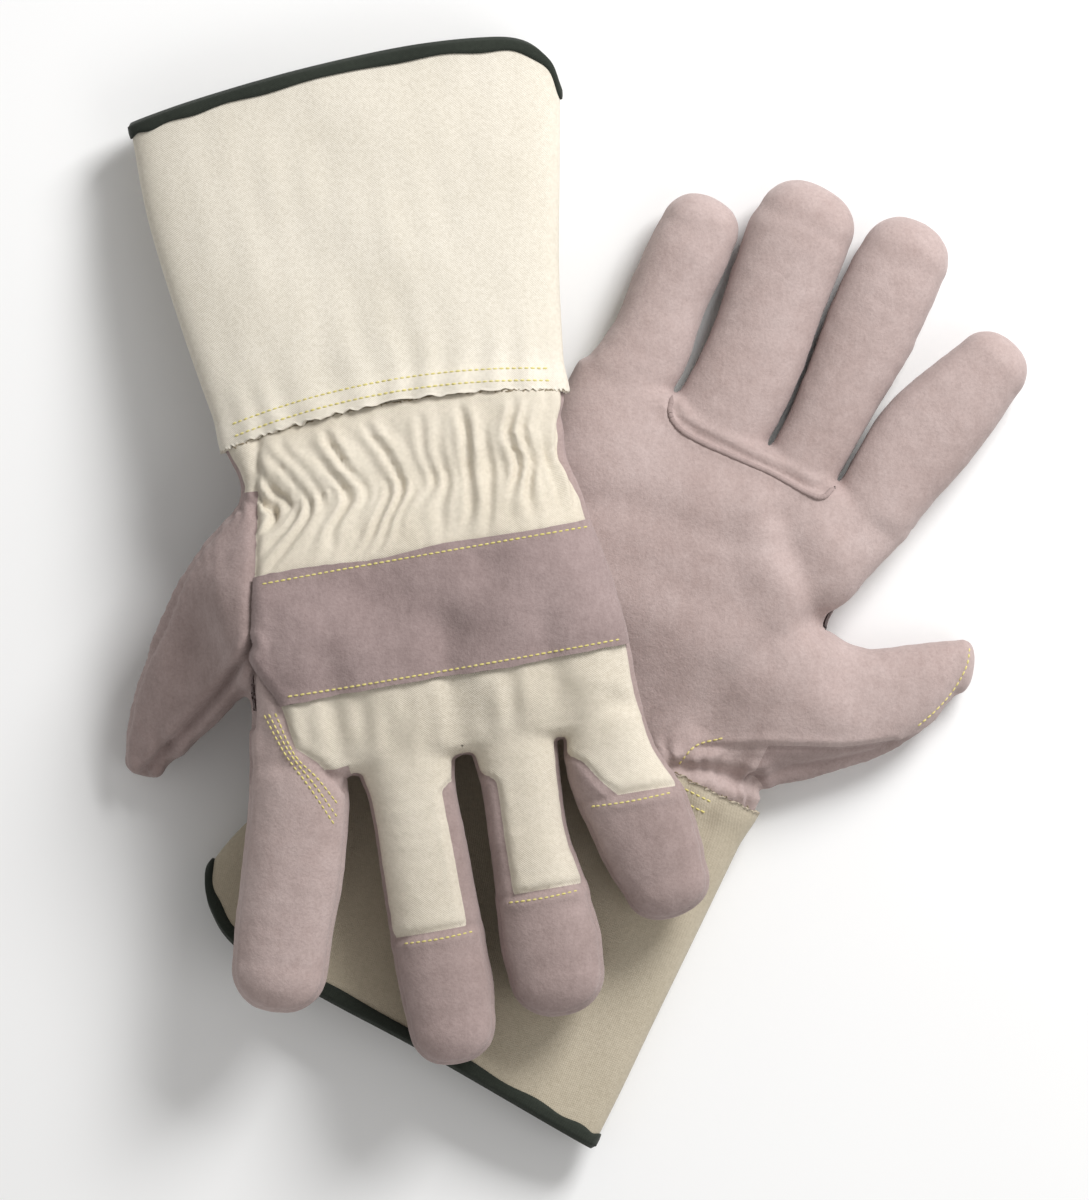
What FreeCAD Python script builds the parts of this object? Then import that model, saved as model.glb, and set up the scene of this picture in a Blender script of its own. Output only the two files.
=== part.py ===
"""A pair of leather-palm work gloves with gathered wrists and flared canvas safety cuffs.

The right glove lies on its back, palm up. The left glove lies on top of it, back up, with its
fingers over the right glove's cuff. Every panel is a thin shell, so both gloves are hollow.

Each glove is drawn in its own frame: x runs across the hand towards the thumb, y runs from the
cuff seam towards the fingertips, z is up, and the cuff seam is at y = 0. Lengths are millimetres.
The pair's frame has its origin on the floor below the middle of the pair.
"""

import FreeCAD
import Part

import math
import os

Vec = FreeCAD.Vector
UP = Vec(0, 0, 1)

# ---------------------------------------------------------------- driving dimensions
LEATHER = 1.6        # split leather wall
CANVAS = 1.3         # cotton canvas wall
CUFF_WALL = 1.6      # two-ply stiffened canvas
STRAP = 1.5          # knuckle strap leather
LINING = 0.8         # cotton palm lining
ELASTIC = 0.9        # wrist elastic
TAPE = 0.9           # cuff binding, each side of the cuff wall
TAPE_WIDTH = 4.5     # how far the binding covers the cuff
WELT_RADIUS = 1.5    # piping strip at the finger roots
LAYER_GAP = 0.05     # between two layers that are sewn together
JOINT_GAP = 0.4      # between two parts that bend past each other
FOLD_SPARE = 2.0     # degrees that a fold notch is wider than the bend
THUMB_ROOM = 5.0     # how far the cut for the thumb runs past its root, on each side
SEAM_LIFT = 0.3      # how far the side seam sits towards the back, as a share of half the height
REACH = 60.0         # larger than any half height or half width of a finger

FINGER_BEND = {"right": 60.0, "left": 30.0}    # degrees, all bend upwards from rest
THUMB_BEND = {"right": 45.0, "left": 45.0}
WRIST_BEND = {"right": 0.0, "left": 20.0}
STRAP_SPAN = (45.0, 88.0)      # the knuckle strap along y
STRAP_SLANT = 2.0              # degrees
ELASTIC_SPAN = (18.0, 26.0)
LINING_SPAN = (4.0, 98.0)

# A station is (x, y, z, half width, half height) of a tube's cross-section.
CUFF = {
    "right": [(1.5, 0, 13.5, 57, 12), (-5.7, -40, 13, 66.3, 12), (-13.7, -80, 12.7, 76.3, 11.8),
              (-16, -105, 12.5, 80, 11.6), (-16.5, -135, 12.5, 81.5, 11.6)],
    "left": [(0, 0, 40, 58.5, 12), (1, -40, 32.5, 64.5, 12.5), (0, -80, 24.6, 70.8, 13),
             (-2.4, -112, 18.2, 74, 13.2), (-3.5, -135, 16, 76, 13.2)],
}
HAND = {
    "right": [(1.5, 0, 13.5, 57, 12), (4.5, 20, 15.2, 61.5, 13.7), (6, 42, 17.6, 68, 16),
              (0.5, 62, 17.6, 65.5, 16), (-8.5, 76, 17.6, 58.5, 16), (-6, 94, 16.4, 62, 14.8),
              (-4, 108, 14, 62.5, 13.3)],
    "left": [(0, 0, 40, 58.5, 12), (-1.5, 12, 42, 54, 12.5), (-4, 24, 44.5, 51, 13),
             (2.3, 36, 47, 59.7, 14.5), (6, 50, 49, 66, 16), (4.5, 68, 50, 67.5, 16.5),
             (0, 84, 50, 64.3, 16), (0.8, 98, 49, 65.6, 15), (2, 111, 47, 67, 13.5)],
}
DIGITS = {
    "right": {
        "index": [(44, 108, 14, 14.3, 13), (45, 124, 13.5, 15.8, 13.2), (48, 141, 13, 16.5, 13),
                  (52.5, 159, 12.5, 14.8, 12.5), (55.5, 171, 11.8, 12.8, 11.8)],
        "middle": [(16, 108, 14, 12.6, 12.5), (16.3, 124, 13.4, 12.9, 12.8),
                   (15, 142, 13, 13.5, 13), (14, 160, 13, 15.2, 13), (12.7, 180, 13, 15.6, 13),
                   (12.5, 189, 12.5, 15, 12.5)],
        "ring": [(-16, 108, 14, 17.3, 13.2), (-15.5, 124, 13.5, 17, 13.2),
                 (-16.8, 142, 13, 16.8, 13), (-19.9, 160, 13, 16.9, 13),
                 (-22.5, 178, 13, 17.4, 13), (-22.6, 184, 12.5, 16.6, 12.5)],
        "little": [(-50.5, 108, 14, 15, 12.7), (-49.5, 124, 12.8, 14.2, 12.2),
                   (-52, 141, 11.8, 13.2, 11.8), (-53, 156, 12, 13.6, 12),
                   (-53.5, 165, 11.5, 13.2, 11.5)],
        "thumb": [(50.5, 38, 15.5, 28.6, 11.5), (62.5, 42.2, 13.5, 24, 13), (71.8, 48.3, 13, 21, 13),
                  (81.8, 57.7, 12, 18.2, 12), (90.3, 67.8, 11, 14.4, 10.8),
                  (95.4, 77.6, 9.5, 9.7, 8.8)],
    },
    "left": {
        "index": [(53, 111, 47, 15.8, 13), (54.5, 124, 45.5, 16.8, 13.2),
                  (59.5, 142, 43, 17, 13.3), (66, 161, 40.5, 16.4, 13.2), (70, 175, 39, 16, 13)],
        "middle": [(16.2, 111, 47, 17.5, 13.5), (16, 125, 46, 14.8, 13.2), (16, 146, 44, 15, 13),
                   (16, 172, 41.5, 15.4, 13), (16, 192, 40, 15.6, 13), (16.3, 203, 39.5, 14.6, 12.5)],
        "ring": [(-20.5, 111, 47, 15, 13), (-20.5, 127, 46, 13.3, 12.8), (-20, 148, 44, 13.4, 12.8),
                 (-21, 168, 42, 15.6, 13), (-21.3, 183, 40.5, 16.8, 13), (-21.3, 192, 40, 16, 12.5)],
        "little": [(-51.5, 111, 47, 13.2, 12.8), (-52, 127, 45.5, 15.6, 12.8),
                   (-57.5, 144, 43.5, 17.2, 13), (-61, 160, 41.5, 16.4, 12.8),
                   (-63, 169, 40.5, 14.6, 12.3)],
        "thumb": [(56.5, 48.5, 44, 33, 11.5), (68.7, 56.7, 38.5, 28.8, 12.8),
                  (78, 65.5, 32.5, 24.6, 13), (87.5, 75, 25, 19.5, 12.5),
                  (96, 85.3, 17.5, 14.2, 11.5), (103.3, 95, 11, 8.6, 8.2)],
    },
}
TIP_LENGTH = {
    "right": {"index": 12.5, "middle": 15, "ring": 14.5, "little": 12.5, "thumb": 8},
    "left": {"index": 15.5, "middle": 15, "ring": 16, "little": 13, "thumb": 9},
}
# Where the leather fingertip starts on the back, along y.
TIP_START = {
    "right": {"middle": 162, "ring": 157, "little": 138},
    "left": {"middle": 172.5, "ring": 165, "little": 138},
}
# The way each of the thumb's sections faces, in degrees from x towards y.
THUMB_FACING = {"right": [3, 8.4, 14.5, 20, 23.5, 27], "left": [-11, -2.5, 4.7, 13.3, 20.7, 31]}
# The mouth's edge in plan: a shallow arc, then the rounded corner on the little finger's side.
MOUTH = {
    "right": [(90, -125.5), (0, -123.5), (-70, -124), (-89, -117), (-96.6, -98)],
    "left": [(90, -112.5), (10, -122), (-52, -121.5), (-69.5, -115), (-76, -96)],
}
SPREAD = 40.0        # how far the mouth tool runs past the cuff's sides
PAIR_PLACE = {"right": (10.7, -47.4, -28.7), "left": (-60.0, 58.8, 190.0)}   # x, y, turn in degrees
PALM_UP = {"right": True, "left": False}
FINGERS = ("index", "middle", "ring", "little")


# ---------------------------------------------------------------- tubes
def facing(degrees):
    return Vec(math.cos(math.radians(degrees)), math.sin(math.radians(degrees)), 0)


def finger_headings(stations):
    """The level direction of a finger at each of its stations. At its root it faces along y."""
    found = [Vec(0, 1, 0)]
    for i in range(1, len(stations)):
        before, after = stations[i - 1], stations[min(i + 1, len(stations) - 1)]
        found.append(Vec(after[0] - before[0], after[1] - before[1], 0).normalize())
    return found


def hand_headings(stations):
    return [Vec(0, 1, 0)] * len(stations)


def cuff_headings(stations):
    return [Vec(0, -1, 0)] * len(stations)


def digit_headings(side, name):
    if name == "thumb":
        return [facing(degrees) for degrees in THUMB_FACING[side]]
    return finger_headings(DIGITS[side][name])


def section(station, heading, flat):
    """A closed upright wire: an ellipse, or with flat, a slab with elliptical ends."""
    x, y, z, half_width, half_height = station
    end = half_width * 0.45 if flat else half_width
    inset = half_width - end
    arcs = []
    for centre, start in ((inset, -90), (-inset, 90)):
        ellipse = Part.Ellipse(Vec(centre, 0, 0), end, half_height)
        arcs.append(Part.ArcOfEllipse(ellipse, math.radians(start), math.radians(start + 180)))
    edges = [arc.toShape() for arc in arcs]
    if flat:
        top = Part.makeLine(Vec(inset, half_height, 0), Vec(-inset, half_height, 0))
        bottom = Part.makeLine(Vec(-inset, -half_height, 0), Vec(inset, -half_height, 0))
        edges = [edges[0], top, edges[1], bottom]
    wire = Part.Wire(edges)
    side = heading.cross(UP)
    turn = FreeCAD.Rotation(side, UP, side.cross(UP), "XYZ")
    wire.Placement = FreeCAD.Placement(Vec(x, y, z), turn)
    return wire


def moved(station, heading, distance):
    """The same cross-section further along its heading."""
    x, y, z, half_width, half_height = station
    return (x + heading.x * distance, y + heading.y * distance, z, half_width, half_height)


def grown(stations, by):
    return [(x, y, z, w + by, h + by) for x, y, z, w, h in stations]


def tube(stations, dirs, tip=None, flat=False):
    """A solid through the stations, with a rounded tip of that length or with flat ends."""
    stations, dirs = list(stations), list(dirs)
    if tip is not None:
        x, y, z, w, h = stations[-1]
        for degrees in (25, 48, 66, 80):
            angle = math.radians(degrees)
            small = (x, y, z, w * math.cos(angle), h * math.cos(angle))
            stations.append(moved(small, dirs[-1], tip * math.sin(angle)))
            dirs.append(dirs[-1])
    wires = [section(s, d, flat) for s, d in zip(stations, dirs)]
    return Part.makeLoft(wires, True, True)


def shell(stations, dirs, inset, wall, tip=None, flat=False):
    """A tube's wall, open at the start, and at the end too where it has no tip."""
    outer = tube(grown(stations, -inset), dirs, tip, flat)
    inner = tube(grown(stations, -inset - wall), dirs, None if tip is None else tip - wall, flat)
    return outer.cut(inner)


# ---------------------------------------------------------------- cutting tools
def prism(points, height, low):
    """An upright prism over a polygon in plan."""
    wire = Part.makePolygon([Vec(x, y, low) for x, y in points + points[:1]])
    return Part.Face(wire).extrude(Vec(0, 0, height))


def in_profile(points, origin, heading, half_span):
    """A prism whose outline is given as (along heading, up) and which runs sideways."""
    side = heading.cross(UP)
    start = origin - side * half_span
    corners = [start + heading * a + UP * b for a, b in points + points[:1]]
    return Part.Face(Part.makePolygon(corners)).extrude(side * (2 * half_span))


def above(stations, lift, half_span=REACH * 2):
    """Everything above a tube's middle, shifted by lift times its half height."""
    start = Vec(stations[0][0], stations[0][1], 0)
    heading = (Vec(stations[-1][0], stations[-1][1], 0) - start).normalize()
    along = [(Vec(s[0], s[1], 0) - start).dot(heading) for s in stations]
    line = [(a, s[2] + lift * s[4]) for a, s in zip(along, stations)]
    line = [(line[0][0] - REACH, line[0][1])] + line + [(line[-1][0] + REACH, line[-1][1])]
    top = 150.0
    return in_profile(line + [(line[-1][0], top), (line[0][0], top)], start, heading, half_span)


def fold_notch(station, heading, bend, half_span):
    """The wedge over a fold line that leaves room for the parts to bend upwards."""
    x, y, z = station[:3]
    half = math.radians(bend / 2 + FOLD_SPARE)
    opening = REACH * math.tan(half)
    outline = [(0, 0), (opening, REACH), (-opening, REACH)]
    return in_profile(outline, Vec(x, y, z), heading, half_span)


def band(y0, y1, slant=0.0):
    """A slab across the hand between two distances from the cuff seam."""
    rise = 2 * REACH * math.tan(math.radians(slant))
    outline = [(-2 * REACH, y0 + rise), (2 * REACH, y0 - rise), (2 * REACH, y1 - rise),
               (-2 * REACH, y1 + rise)]
    return prism(outline, 200.0, -20.0)


def mouth_tool(side, inward):
    """Everything beyond the cuff's mouth edge, moved inward by that distance."""
    points = [Vec(x, y, -20) for x, y in MOUTH[side]]
    far = -180.0
    last = Vec(points[4].x - 1.5, SPREAD, -20)
    edges = [
        Part.Arc(*points[:3]).toShape(),
        Part.Arc(*points[2:]).toShape(),
        Part.makeLine(points[4], last),
        Part.makeLine(last, Vec(last.x - SPREAD, SPREAD, -20)),
        Part.makeLine(Vec(last.x - SPREAD, SPREAD, -20), Vec(last.x - SPREAD, far, -20)),
        Part.makeLine(Vec(last.x - SPREAD, far, -20), Vec(points[0].x, far, -20)),
        Part.makeLine(Vec(points[0].x, far, -20), points[0]),
    ]
    solid = Part.Face(Part.Wire(edges)).extrude(Vec(0, 0, 200))
    solid.translate(Vec(inward * 0.75, inward, 0))
    return solid


# ---------------------------------------------------------------- the parts of one glove
def halves(solid, stations, palm_up):
    """(palm side, back side), parted at the side seams, which sit a little towards the back."""
    lift = -SEAM_LIFT if palm_up else SEAM_LIFT
    tool = above(stations, lift)
    upper, lower = solid.common(tool), solid.cut(tool)
    return (upper, lower) if palm_up else (lower, upper)


def thumb_root(side):
    return DIGITS[side]["thumb"][0], digit_headings(side, "thumb")[0]


def hand_cutters(side):
    """What is cut from every layer of the hand: the thumb's root and the fold notches."""
    station, heading = thumb_root(side)
    origin = Vec(station[0], station[1], 0)
    outline = [(0, -20), (REACH, -20), (REACH, 150), (0, 150)]
    last = HAND[side][-1]
    cutters = [
        in_profile(outline, origin, heading, station[3] + THUMB_ROOM),
        fold_notch(station, heading, THUMB_BEND[side], station[3] + THUMB_ROOM),
        fold_notch(last, Vec(0, 1, 0), FINGER_BEND[side], 2 * REACH),
    ]
    if WRIST_BEND[side]:
        cutters.append(fold_notch(HAND[side][0], Vec(0, 1, 0), WRIST_BEND[side], 2 * REACH))
    return cutters


def hand_parts(side):
    """Palm, lining, back, knuckle strap and wrist elastic."""
    stations, palm_up = HAND[side], PALM_UP[side]
    cutters = hand_cutters(side)

    def layer(inset, wall):
        made = shell(stations, hand_headings(stations), inset, wall, flat=True)
        for cutter in cutters:
            made = made.cut(cutter)
        return halves(made, stations, palm_up)

    palm = layer(0.0, LEATHER)[0]
    back = layer(0.0, CANVAS)[1]
    lining = layer(LEATHER + LAYER_GAP, LINING)[0].common(band(*LINING_SPAN))
    elastic = layer(CANVAS + LAYER_GAP, ELASTIC)[1].common(band(*ELASTIC_SPAN))
    strap = layer(-STRAP - LAYER_GAP, STRAP)[1].common(band(*STRAP_SPAN, STRAP_SLANT))
    strap = max(strap.Solids, key=lambda piece: piece.Volume)
    return {
        "palm_leather": palm,
        "palm_lining": lining,
        "back_canvas": back,
        "wrist_elastic": elastic,
        "knuckle_strap": strap,
    }


def cuff_parts(side):
    """The flared canvas tube and the binding tape folded over its mouth."""
    stations = CUFF[side]
    dirs = cuff_headings(stations)
    wall = shell(stations, dirs, 0.0, CUFF_WALL, flat=True)
    tape = shell(stations, dirs, -TAPE, CUFF_WALL + 2 * TAPE, flat=True)
    if WRIST_BEND[side]:
        notch = fold_notch(stations[0], Vec(0, 1, 0), WRIST_BEND[side], 2 * REACH)
        seam = band(-JOINT_GAP, 20.0)
        wall = wall.cut(notch).cut(seam)
    wall = wall.cut(mouth_tool(side, TAPE))
    tape = tape.cut(mouth_tool(side, 0.0)).common(mouth_tool(side, TAPE_WIDTH)).cut(wall)
    return {"cuff": wall, "cuff_binding": tape}


def digit_parts(side, name):
    """A finger or thumb: its palm side, its back, and on three fingers a leather tip."""
    stations, palm_up = DIGITS[side][name], PALM_UP[side]
    dirs = digit_headings(side, name)
    root, heading = stations[0], dirs[0]
    bend = THUMB_BEND[side] if name == "thumb" else FINGER_BEND[side]
    made = shell(stations, dirs, 0.0, LEATHER, TIP_LENGTH[side][name])
    gap = [(-REACH, -20), (JOINT_GAP, -20), (JOINT_GAP, 150), (-REACH, 150)]
    made = made.cut(in_profile(gap, Vec(root[0], root[1], 0), heading, REACH))
    made = made.cut(fold_notch(root, heading, bend, REACH))
    front, back = halves(made, stations, palm_up)
    parts = {name + "_front": front}
    if name in TIP_START[side]:
        tool = band(TIP_START[side][name], 300.0)
        parts[name + "_tip"] = back.common(tool)
        back = back.cut(tool)
    parts[name + "_back"] = back
    return parts


def root_welt(side):
    """The piping strip sewn across the roots of the middle and ring fingers, on the palm."""
    up = 1 if PALM_UP[side] else -1
    last = HAND[side][-1]
    half = math.radians(FINGER_BEND[side] / 2 + FOLD_SPARE)
    setback = last[4] * math.tan(half) if PALM_UP[side] else 0.0
    y = last[1] - setback - WELT_RADIUS - 1.0
    share = (y - HAND[side][-2][1]) / (last[1] - HAND[side][-2][1])
    half_height = HAND[side][-2][4] + share * (last[4] - HAND[side][-2][4])
    middle_z = HAND[side][-2][2] + share * (last[2] - HAND[side][-2][2])
    z = middle_z + up * (half_height + WELT_RADIUS + LAYER_GAP)
    first, final = DIGITS[side]["ring"][0], DIGITS[side]["middle"][0]
    start = Vec(first[0] - first[3], y, z)
    length = final[0] + final[3] - start.x
    return Part.makeCylinder(WELT_RADIUS, length, start, Vec(1, 0, 0))


def glove(side):
    """Every part of one glove in its own frame, by name."""
    parts = hand_parts(side)
    parts.update(cuff_parts(side))
    parts["finger_root_welt"] = root_welt(side)
    for name in FINGERS + ("thumb",):
        parts.update(digit_parts(side, name))
    return parts


# ---------------------------------------------------------------- the pair
def place(side):
    """Carries a glove's own frame to the pair's frame."""
    x, y, turn = PAIR_PLACE[side]
    return FreeCAD.Placement(Vec(x, y, 0), FreeCAD.Rotation(UP, turn))


def hinges():
    """{joint name: (point on the fold line, axis)} in the pair's frame. Positive bends upwards."""
    found = {}
    for side in ("right", "left"):
        put = place(side)
        for name in FINGERS + ("thumb",):
            station, heading = DIGITS[side][name][0], digit_headings(side, name)[0]
            axis = put.Rotation.multVec(heading.cross(UP))
            found[f"{side}_{name}_bend"] = (put.multVec(Vec(*station[:3])), axis)
        if WRIST_BEND[side]:
            station = CUFF[side][0]
            axis = put.Rotation.multVec(Vec(0, -1, 0).cross(UP))
            found[f"{side}_wrist_bend"] = (put.multVec(Vec(*station[:3])), axis)
    return found


def main():
    os.makedirs("parts", exist_ok=True)
    for side in ("right", "left"):
        for name, shape in glove(side).items():
            shape.Placement = place(side).multiply(shape.Placement)
            shape.exportStep(f"parts/{side}_{name}.step")


if __name__ == "__main__":
    main()
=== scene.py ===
"""A pair of leather-palm work gloves with gathered wrists and bound canvas safety cuffs.

Each glove is made in its own frame, in millimetres: x across the hand towards the thumb, y from
the cuff seam towards the fingertips, z up. Its hand is one smooth surface, cut along the seams
into panels, each with its own thickness. Cuffs and bindings are swept sheets.
"""

import math

import bpy
import numpy as np
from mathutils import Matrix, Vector
from mathutils.bvhtree import BVHTree


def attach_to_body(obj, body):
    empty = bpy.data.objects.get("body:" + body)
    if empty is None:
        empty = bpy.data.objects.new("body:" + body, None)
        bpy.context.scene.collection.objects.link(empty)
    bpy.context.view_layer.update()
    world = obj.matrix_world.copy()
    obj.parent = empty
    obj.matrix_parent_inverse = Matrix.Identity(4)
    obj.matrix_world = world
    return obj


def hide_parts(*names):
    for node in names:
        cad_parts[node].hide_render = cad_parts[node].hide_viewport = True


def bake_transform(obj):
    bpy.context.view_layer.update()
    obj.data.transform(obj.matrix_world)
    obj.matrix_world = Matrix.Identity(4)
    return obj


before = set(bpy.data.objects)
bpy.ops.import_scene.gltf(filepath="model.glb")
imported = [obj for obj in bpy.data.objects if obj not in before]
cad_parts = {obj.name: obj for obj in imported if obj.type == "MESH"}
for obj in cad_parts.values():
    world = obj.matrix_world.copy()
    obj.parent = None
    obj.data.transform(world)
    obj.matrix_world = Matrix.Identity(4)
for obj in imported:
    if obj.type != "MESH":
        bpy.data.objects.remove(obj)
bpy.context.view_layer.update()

# ---------------------------------------------------------------- the gloves' sizes, as in the CAD
FINGERS = ("index", "middle", "ring", "little")
PLACE = {"right": (10.7, -47.4, -28.7), "left": (-60.0, 58.8, 190.0)}
BACK_UP = {"right": -1.0, "left": 1.0}
CUFF = {
    "right": [(1.5, 0, 13.5, 57, 12), (-5.7, -40, 13, 66.3, 12), (-13.7, -80, 12.7, 76.3, 11.8),
              (-16, -105, 12.5, 80, 11.6), (-16.5, -135, 12.5, 81.5, 11.6)],
    "left": [(0, 0, 40, 58.5, 12), (1, -40, 32.5, 64.5, 12.5), (0, -80, 24.6, 70.8, 13),
             (-2.4, -112, 18.2, 74, 13.2), (-3.5, -135, 16, 76, 13.2)],
}
HAND = {
    "right": [(1.5, -20, 13.3, 54, 9.6), (1.5, 0, 13, 56.5, 10.6), (-1.8, 9.5, 13.4, 53.2, 11.3),
              (2, 21, 14.6, 58.5, 12.9), (3, 42, 17.6, 67, 16.2), (-4, 58, 17.6, 61, 16.2),
              (-8.7, 67, 17.6, 56.6, 16), (-8.4, 76, 17.6, 58.2, 16), (-7.5, 86, 17.1, 59.8, 15.6),
              (-6.7, 94, 16.4, 61.2, 14.8), (-4.6, 108, 14, 63.2, 13.3)],
    "left": [(0, -20, 36.2, 56, 9.8), (0, 0, 40, 58, 11.4), (-1.5, 12, 42, 54, 12.5),
             (-4, 24, 44.5, 51, 13), (2.3, 36, 47, 59.7, 14.5), (6, 50, 49, 66, 16),
             (4.5, 68, 50, 67.5, 16.5), (0, 84, 50, 64.3, 16), (0.8, 98, 49, 65.6, 15),
             (2, 111, 47, 67, 13.5)],
}
DIGITS = {
    "right": {
        "index": [(44, 108, 14, 14.3, 13), (45, 124, 13.5, 15.8, 13.2), (48, 141, 13, 16.5, 13),
                  (52.5, 159, 12.5, 14.8, 12.5), (55.5, 171, 11.8, 12.8, 11.8)],
        "middle": [(16, 108, 14, 12.6, 12.5), (16.3, 124, 13.4, 12.9, 12.8),
                   (15, 142, 13, 13.5, 13), (14, 160, 13, 15.2, 13), (12.7, 180, 13, 15.6, 13),
                   (12.5, 189, 12.5, 15, 12.5)],
        "ring": [(-16, 108, 14, 17.3, 13.2), (-15.5, 124, 13.5, 17, 13.2),
                 (-16.8, 142, 13, 16.8, 13), (-19.9, 160, 13, 16.9, 13),
                 (-22.5, 178, 13, 17.4, 13), (-22.6, 184, 12.5, 16.6, 12.5)],
        "little": [(-50.5, 108, 14, 15, 12.7), (-49.5, 124, 12.8, 14.2, 12.2),
                   (-52, 141, 11.8, 13.2, 11.8), (-53, 156, 12, 13.6, 12),
                   (-53.5, 165, 11.5, 13.2, 11.5)],
        "thumb": [(50.5, 38, 15.5, 28.6, 11.5), (62.5, 42.2, 13.5, 24, 13), (71.8, 48.3, 13, 21, 13),
                  (81.8, 57.7, 12, 18.2, 12), (90.3, 67.8, 11, 14.4, 10.8),
                  (95.6, 77.8, 9.5, 9.2, 7.8)],
    },
    "left": {
        "index": [(53, 111, 47, 15.8, 13), (54.5, 124, 45.5, 16.8, 13.2),
                  (59.5, 142, 43, 17, 13.3), (66, 161, 40.5, 16.4, 13.2), (70, 175, 39, 16, 13)],
        "middle": [(16.2, 111, 47, 17.5, 13.5), (16, 125, 46, 14.8, 13.2), (16, 146, 44, 15, 13),
                   (16, 172, 41.5, 15.4, 13), (16, 192, 40, 15.6, 13), (16.3, 203, 39.5, 14.6, 12.5)],
        "ring": [(-20.5, 111, 47, 15, 13), (-20.5, 127, 46, 13.3, 12.8), (-20, 148, 44, 13.4, 12.8),
                 (-21, 168, 42, 15.6, 13), (-21.3, 183, 40.5, 16.8, 13), (-21.3, 192, 40, 16, 12.5)],
        "little": [(-51.5, 111, 47, 13.2, 12.8), (-52, 127, 45.5, 15.6, 12.8),
                   (-57.5, 144, 43.5, 17.2, 13), (-61, 160, 41.5, 16.4, 12.8),
                   (-63, 169, 40.5, 14.6, 12.3)],
        "thumb": [(56.5, 48.5, 44, 33, 11.5), (68.7, 56.7, 38.5, 28.8, 12.8),
                  (78, 65.5, 32.5, 24.6, 13), (87.5, 75, 25, 19.5, 12.5),
                  (96, 85.3, 17.5, 14.2, 11.5), (101, 93.3, 13.2, 9.4, 9), (104.3, 99.8, 10.5, 6.6, 7)],
    },
}
TIP_LENGTH = {
    "right": {"index": 12.5, "middle": 15, "ring": 14.5, "little": 12.5, "thumb": 5},
    "left": {"index": 15.5, "middle": 15, "ring": 16, "little": 13, "thumb": 4.5},
}
TIP_START = {
    "right": {"middle": 162, "ring": 157, "little": 138},
    "left": {"middle": 172.5, "ring": 165, "little": 138},
}
THUMB_FACING = {"right": [3, 8.4, 14.5, 20, 23.5, 20], "left": [-11, -2.5, 4.7, 13.3, 20.7, 42, 63]}
CROTCH = {"right": (47.0, 67.0), "left": (63.4, 81.0)}      # between the thumb and the index finger
ROOT_LINE = {"right": 110.0, "left": 113.0}
SEAM = 0.3           # the side seam, as a share of the half height towards the back
STEP = 1.2           # the surface's grid
# The piping strip across the finger roots. Its ends run up between the fingers.
WELT = [(-34.5, 111.5), (-33, 106.5), (-29, 103.2), (-21, 102), (-6, 103.1), (8, 104.2), (22, 104.3),
        (27, 106), (28.8, 111)]
# The seam between the palm leather and the thumb's outer panel.
THUMB_SEAM = {
    "right": [(26, 0), (31, 11), (48.6, 21.6), (73, 33.7), (88, 44.5), (96, 53), (103, 62)],
    "left": [(26, 0), (31, 11), (50, 24), (78, 44), (96, 66), (105, 88)],
}
# Seams and creases in plan: which side they are on, their points, depth and half width.
LINES = {
    "right": [
        ("palm", [(-33, 109), (-28.5, 105.5), (-21, 104.2), (-6, 105.3), (8, 106.4), (21, 106.6),
                  (26.5, 109)], 1.5, 1.3),
        ("palm", THUMB_SEAM["right"][:5], 0.9, 1.0),
        ("palm", [(44, 69), (42, 72.5), (30, 81), (18, 92)], 2.4, 5.5),
        ("palm", [(44, 64), (34, 71), (21, 82), (11, 93)], -1.3, 5.5),
        ("palm", [(47, 66), (36, 56), (28, 36), (28, 18)], 1.8, 5.0),
        ("palm", [(27, 1), (38, 6), (54, 9.5)], 2.2, 2.0),
        ("palm", [(-52, 60), (-30, 72), (0, 76), (28, 84)], 0.8, 5.0),
    ],
    "left": [
        ("palm", [(-35, 112), (-24, 107.2), (-7, 108.3), (9, 109.4), (23, 109.6), (32, 112)], 1.4, 1.3),
        ("palm", THUMB_SEAM["left"], 1.3, 1.2),
        ("back", [(60, 67), (72, 78.5), (83, 87), (94, 95), (105, 103)], 2.9, 1.5),
        ("palm", [(48, 84), (38, 66), (30, 40)], 1.4, 4.5),
    ],
}
# Hollows and swells over the knuckles: place, radius and depth.
DENTS = [(16, 58, 12, 3.2), (-6, 73, 8, 2.6), (40, 66, 14, -1.6), (-38, 70, 16, -1.6), (-22, 56, 8, 1.6),
         (82, 62, 11, 4.2)]
ROOT_HOLLOWS = {"right": (29.0, 0.5, -34.0), "left": (36.0, -3.5, -37.6)}   # between the fingers, along x
INDEX_START = {"right": 80, "left": 64}
INDEX_SEAM = {
    "right": [(58, 80), (51, 90), (46, 102), (39, 110), (31, 118)],
    "left": [(66.5, 62), (61.8, 72), (54.5, 87.4), (51.8, 103.8), (45.6, 109.7), (38.6, 120)],
}


# ---------------------------------------------------------------- small tools
def smooth(t):
    t = np.clip(t, 0.0, 1.0)
    return t * t * (3 - 2 * t)


def dense(rows, per_span=14):
    """A smooth run of rows through the given ones."""
    rows = np.array(rows, float)
    p = np.vstack([2 * rows[0] - rows[1], rows, 2 * rows[-1] - rows[-2]])
    found = []
    t = np.linspace(0, 1, per_span, endpoint=False)[:, None]
    for a, b, c, d in zip(p[:-3], p[1:-2], p[2:-1], p[3:]):
        bend = (c - a) * t + (2 * a - 5 * b + 4 * c - d) * t**2 + (3 * b - a - 3 * c + d) * t**3
        found.append(b + 0.5 * bend)
    return np.vstack(found + [rows[-1:]])


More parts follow.
